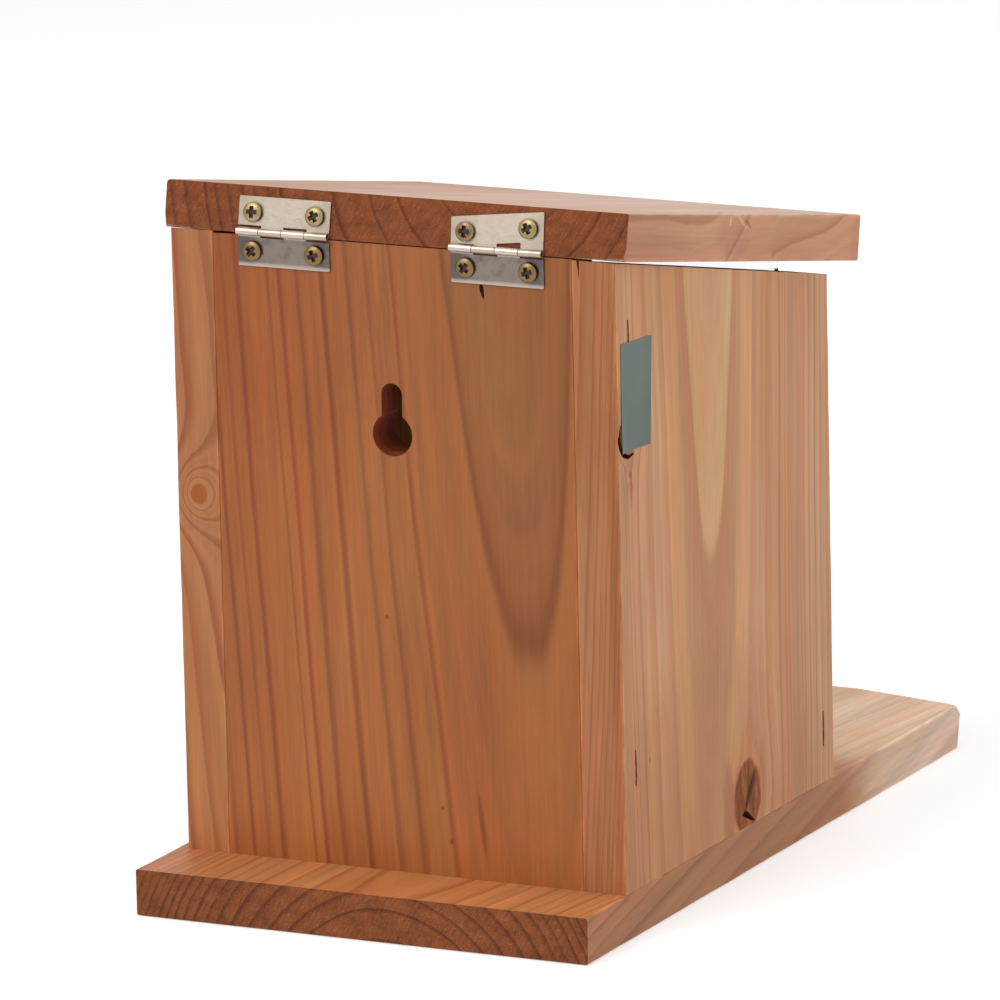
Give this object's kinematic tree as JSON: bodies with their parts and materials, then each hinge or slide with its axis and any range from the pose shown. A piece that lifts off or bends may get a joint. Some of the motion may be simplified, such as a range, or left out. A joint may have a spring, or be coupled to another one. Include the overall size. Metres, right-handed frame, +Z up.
{
  "type": "squirrel feeder box",
  "caption": "Wooden nut box on a long base board, with a sloping hinged lid, a clear front window behind a low rail, and a keyhole in the back for hanging.",
  "frame": {"origin": "the middle of the base board's underside, on the surface that the box stands on; the bounding box is centred on it along X", "axes": "+Z up, -Y to the window and the squirrel's seat, +Y to the hinges and the keyhole, +X to the right seen from the front"},
  "size_m": [0.157, 0.287, 0.2248],
  "materials": {
    "softwood": "planed reddish softwood, lightly oiled, with darker end grain",
    "hinge_steel": "nickel-plated pressed steel",
    "screw_steel": "yellow passivated zinc",
    "staple_steel": "galvanised wire, sunk in the wood",
    "clear_acrylic": "clear, polished, sawn edges"
  },
  "bodies": {
    "box": {"base_board": "softwood", "left_side_panel": "softwood", "right_side_panel": "softwood", "back_panel": "softwood", "front_rail": "softwood", "window_pane": "clear_acrylic", "left_hinge_body_leaf": "hinge_steel", "left_hinge_pin": "hinge_steel", "left_hinge_body_screws": "screw_steel", "right_hinge_body_leaf": "hinge_steel", "right_hinge_pin": "hinge_steel", "right_hinge_body_screws": "screw_steel", "left_side_staples": "staple_steel", "right_side_staples": "staple_steel", "base_staples": "staple_steel"},
    "lid": {"lid_board": "softwood", "left_hinge_lid_leaf": "hinge_steel", "left_hinge_lid_screws": "screw_steel", "right_hinge_lid_leaf": "hinge_steel", "right_hinge_lid_screws": "screw_steel"}
  },
  "joints": [
    {"name": "lid_hinge", "type": "hinge", "parent": "box", "child": "lid", "pos_m": [0, 0.11675, 0.21133], "axis": [-1, 0, 0], "range_deg": [0, 160]}
  ]
}
